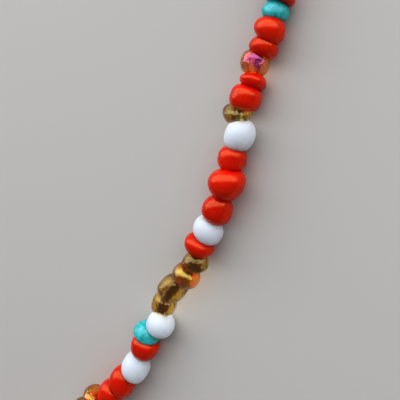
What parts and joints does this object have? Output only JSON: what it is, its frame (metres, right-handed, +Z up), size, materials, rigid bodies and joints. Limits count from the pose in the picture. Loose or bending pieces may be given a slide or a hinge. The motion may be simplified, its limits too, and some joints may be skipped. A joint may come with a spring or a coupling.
{
  "type": "seed bead necklace",
  "caption": "Closed strand of drilled glass seed beads in opaque red, white, turquoise and transparent amber, lying flat as a loop.",
  "frame": {"origin": "on the surface that the necklace lies on, under the middle of the loop", "axes": "+Z up from the surface, +Y from the middle of the loop to the clasp at the nape, +X to the side with the single beads"},
  "size_m": [0.1387, 0.164, 0.0049],
  "materials": {
    "red_glass": "gloss",
    "white_glass": "gloss",
    "turquoise_glass": "satin",
    "topaz_glass": "polished",
    "amber_glass": "polished",
    "mixed_glass": "gloss",
    "nylon_thread": "satin",
    "gold_brass": "satin"
  },
  "bodies": {
    "root": {"bead_01_red": "red_glass", "bead_02_turquoise": "turquoise_glass", "bead_03_red": "red_glass", "bead_04_red": "red_glass", "bead_05_amber": "amber_glass", "bead_06_red": "red_glass", "bead_07_red": "red_glass", "bead_08_topaz": "topaz_glass", "bead_09_white": "white_glass", "bead_10_red": "red_glass", "bead_11_red": "red_glass", "bead_12_red": "red_glass", "bead_13_white": "white_glass", "bead_14_red": "red_glass", "bead_15_topaz": "topaz_glass", "bead_16_amber": "amber_glass", "bead_17_topaz": "topaz_glass", "bead_18_topaz": "topaz_glass", "bead_19_white": "white_glass", "bead_20_turquoise": "turquoise_glass", "bead_21_red": "red_glass", "bead_22_white": "white_glass", "bead_23_red": "red_glass", "bead_24_red": "red_glass", "bead_25_amber": "amber_glass", "bead_string_left": "mixed_glass", "bead_string_right": "mixed_glass", "clasp": "gold_brass", "thread": "nylon_thread"}
  },
  "joints": []
}
